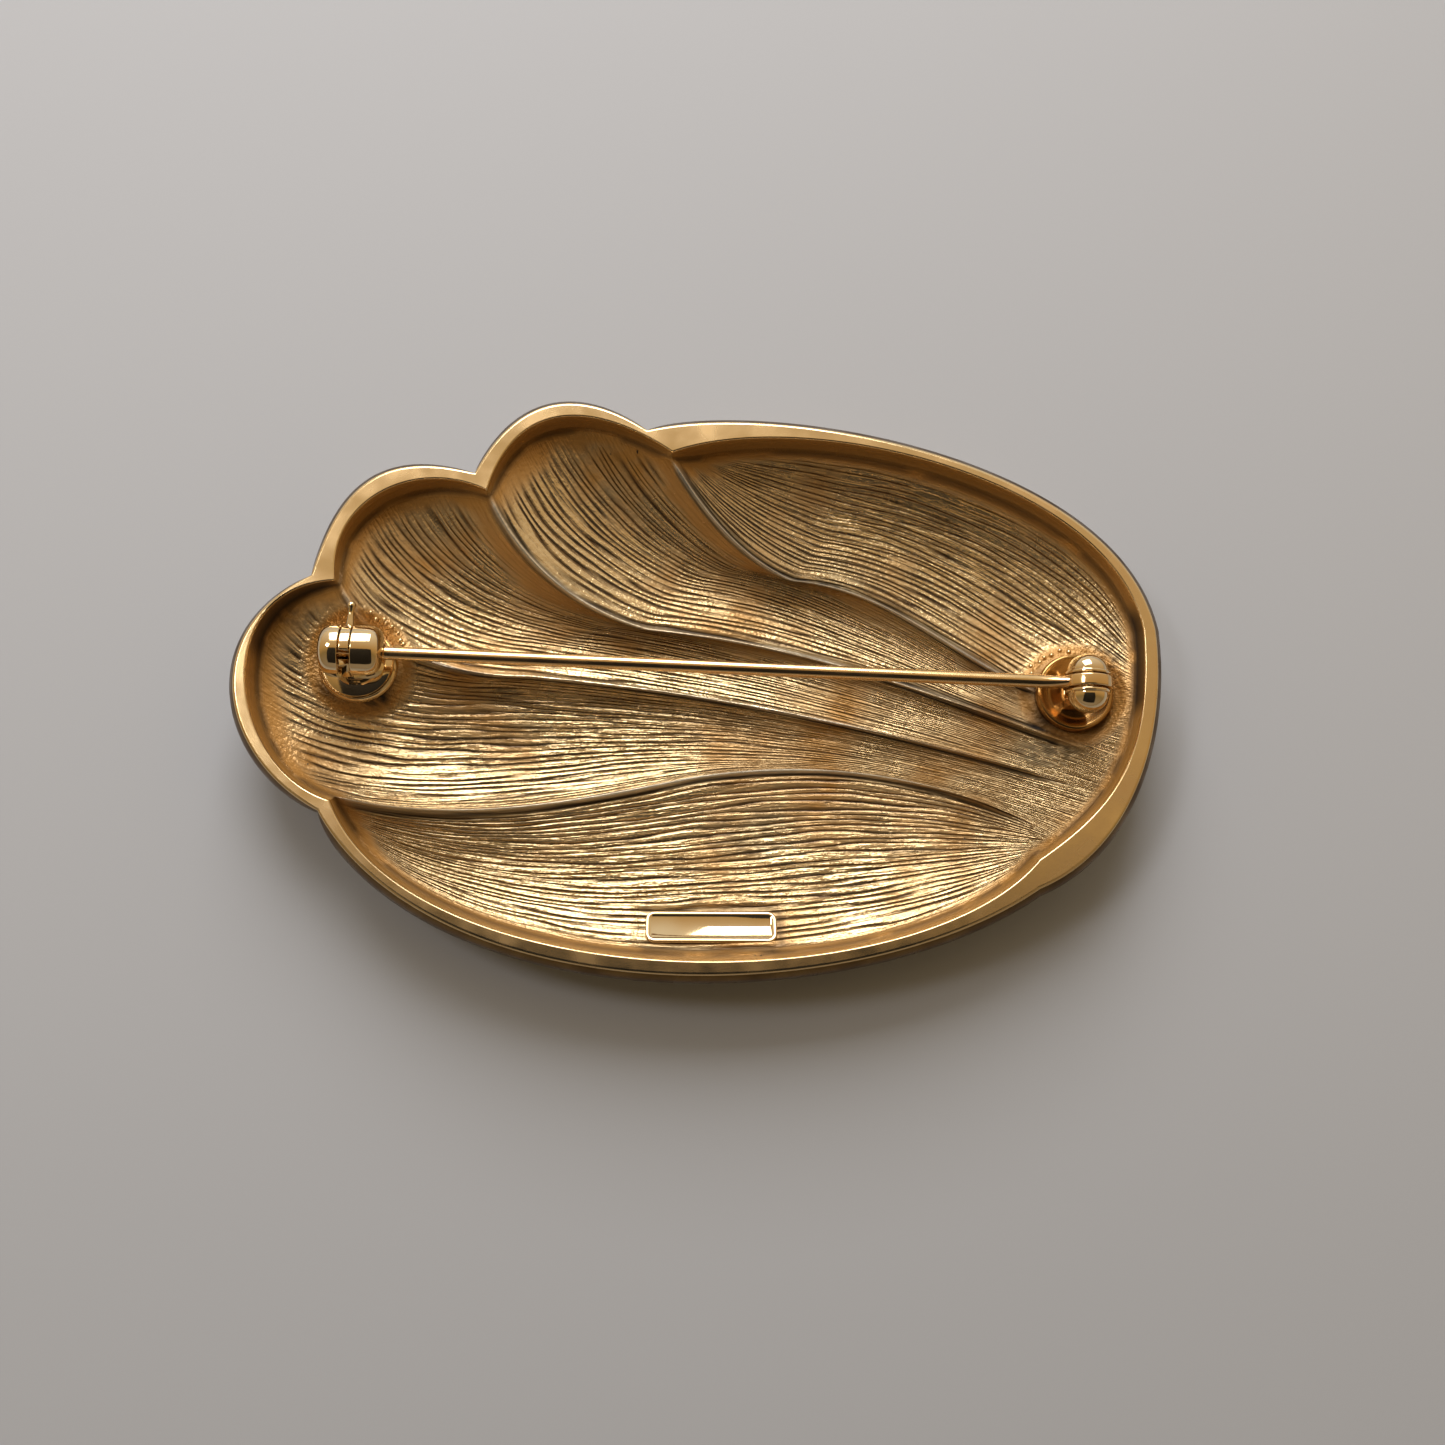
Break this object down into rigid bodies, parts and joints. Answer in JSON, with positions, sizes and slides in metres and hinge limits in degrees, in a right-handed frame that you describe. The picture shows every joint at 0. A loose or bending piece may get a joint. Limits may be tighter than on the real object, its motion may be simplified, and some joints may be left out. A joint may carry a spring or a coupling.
{
  "type": "brooch",
  "caption": "Fluted shell-shaped brooch: a hollow cast back with lobes and a flat rim, a hinged pin stem and a rolling ball catch with a thumb lever.",
  "frame": {"origin": "middle of the outline on the surface that the domed front lies on, hollow back up", "axes": "+X along the pin stem from catch to hinge, +Z out of the hollow back towards the wearer's cloth"},
  "size_m": [0.0629, 0.0397, 0.0089],
  "materials": {
    "cast_gold": "brushed gold plate on a white-metal casting",
    "polished_gold": "polished gold plate",
    "stem_gold": "polished gold-plated spring wire"
  },
  "bodies": {
    "brooch_back": {"cast_shell": "cast_gold", "maker_tablet": "polished_gold", "catch_base": "polished_gold", "catch_housing": "polished_gold", "hinge_base": "polished_gold", "hinge_housing": "polished_gold"},
    "rotor": {"catch_rotor": "polished_gold"},
    "rivet": {"hinge_rivet": "polished_gold"},
    "stem": {"pin_stem": "stem_gold"}
  },
  "joints": [
    {"name": "catch_turn", "type": "hinge", "parent": "brooch_back", "child": "rotor", "pos_m": [-0.0235, 0.0008, 0.00715], "axis": [1, 0, 0], "range_deg": [0, 110]},
    {"name": "stem_lift", "type": "hinge", "parent": "brooch_back", "child": "rivet", "pos_m": [0.0256, 0.0008, 0.00715], "axis": [0, 1, 0], "range_deg": [0, 105]},
    {"name": "stem_sway", "type": "hinge", "parent": "rivet", "child": "stem", "pos_m": [0.0256, 0.0008, 0.00715], "axis": [0, 0, 1], "range_deg": [0, 2.8], "stiffness_Nm_per_rad": 0.2}
  ]
}
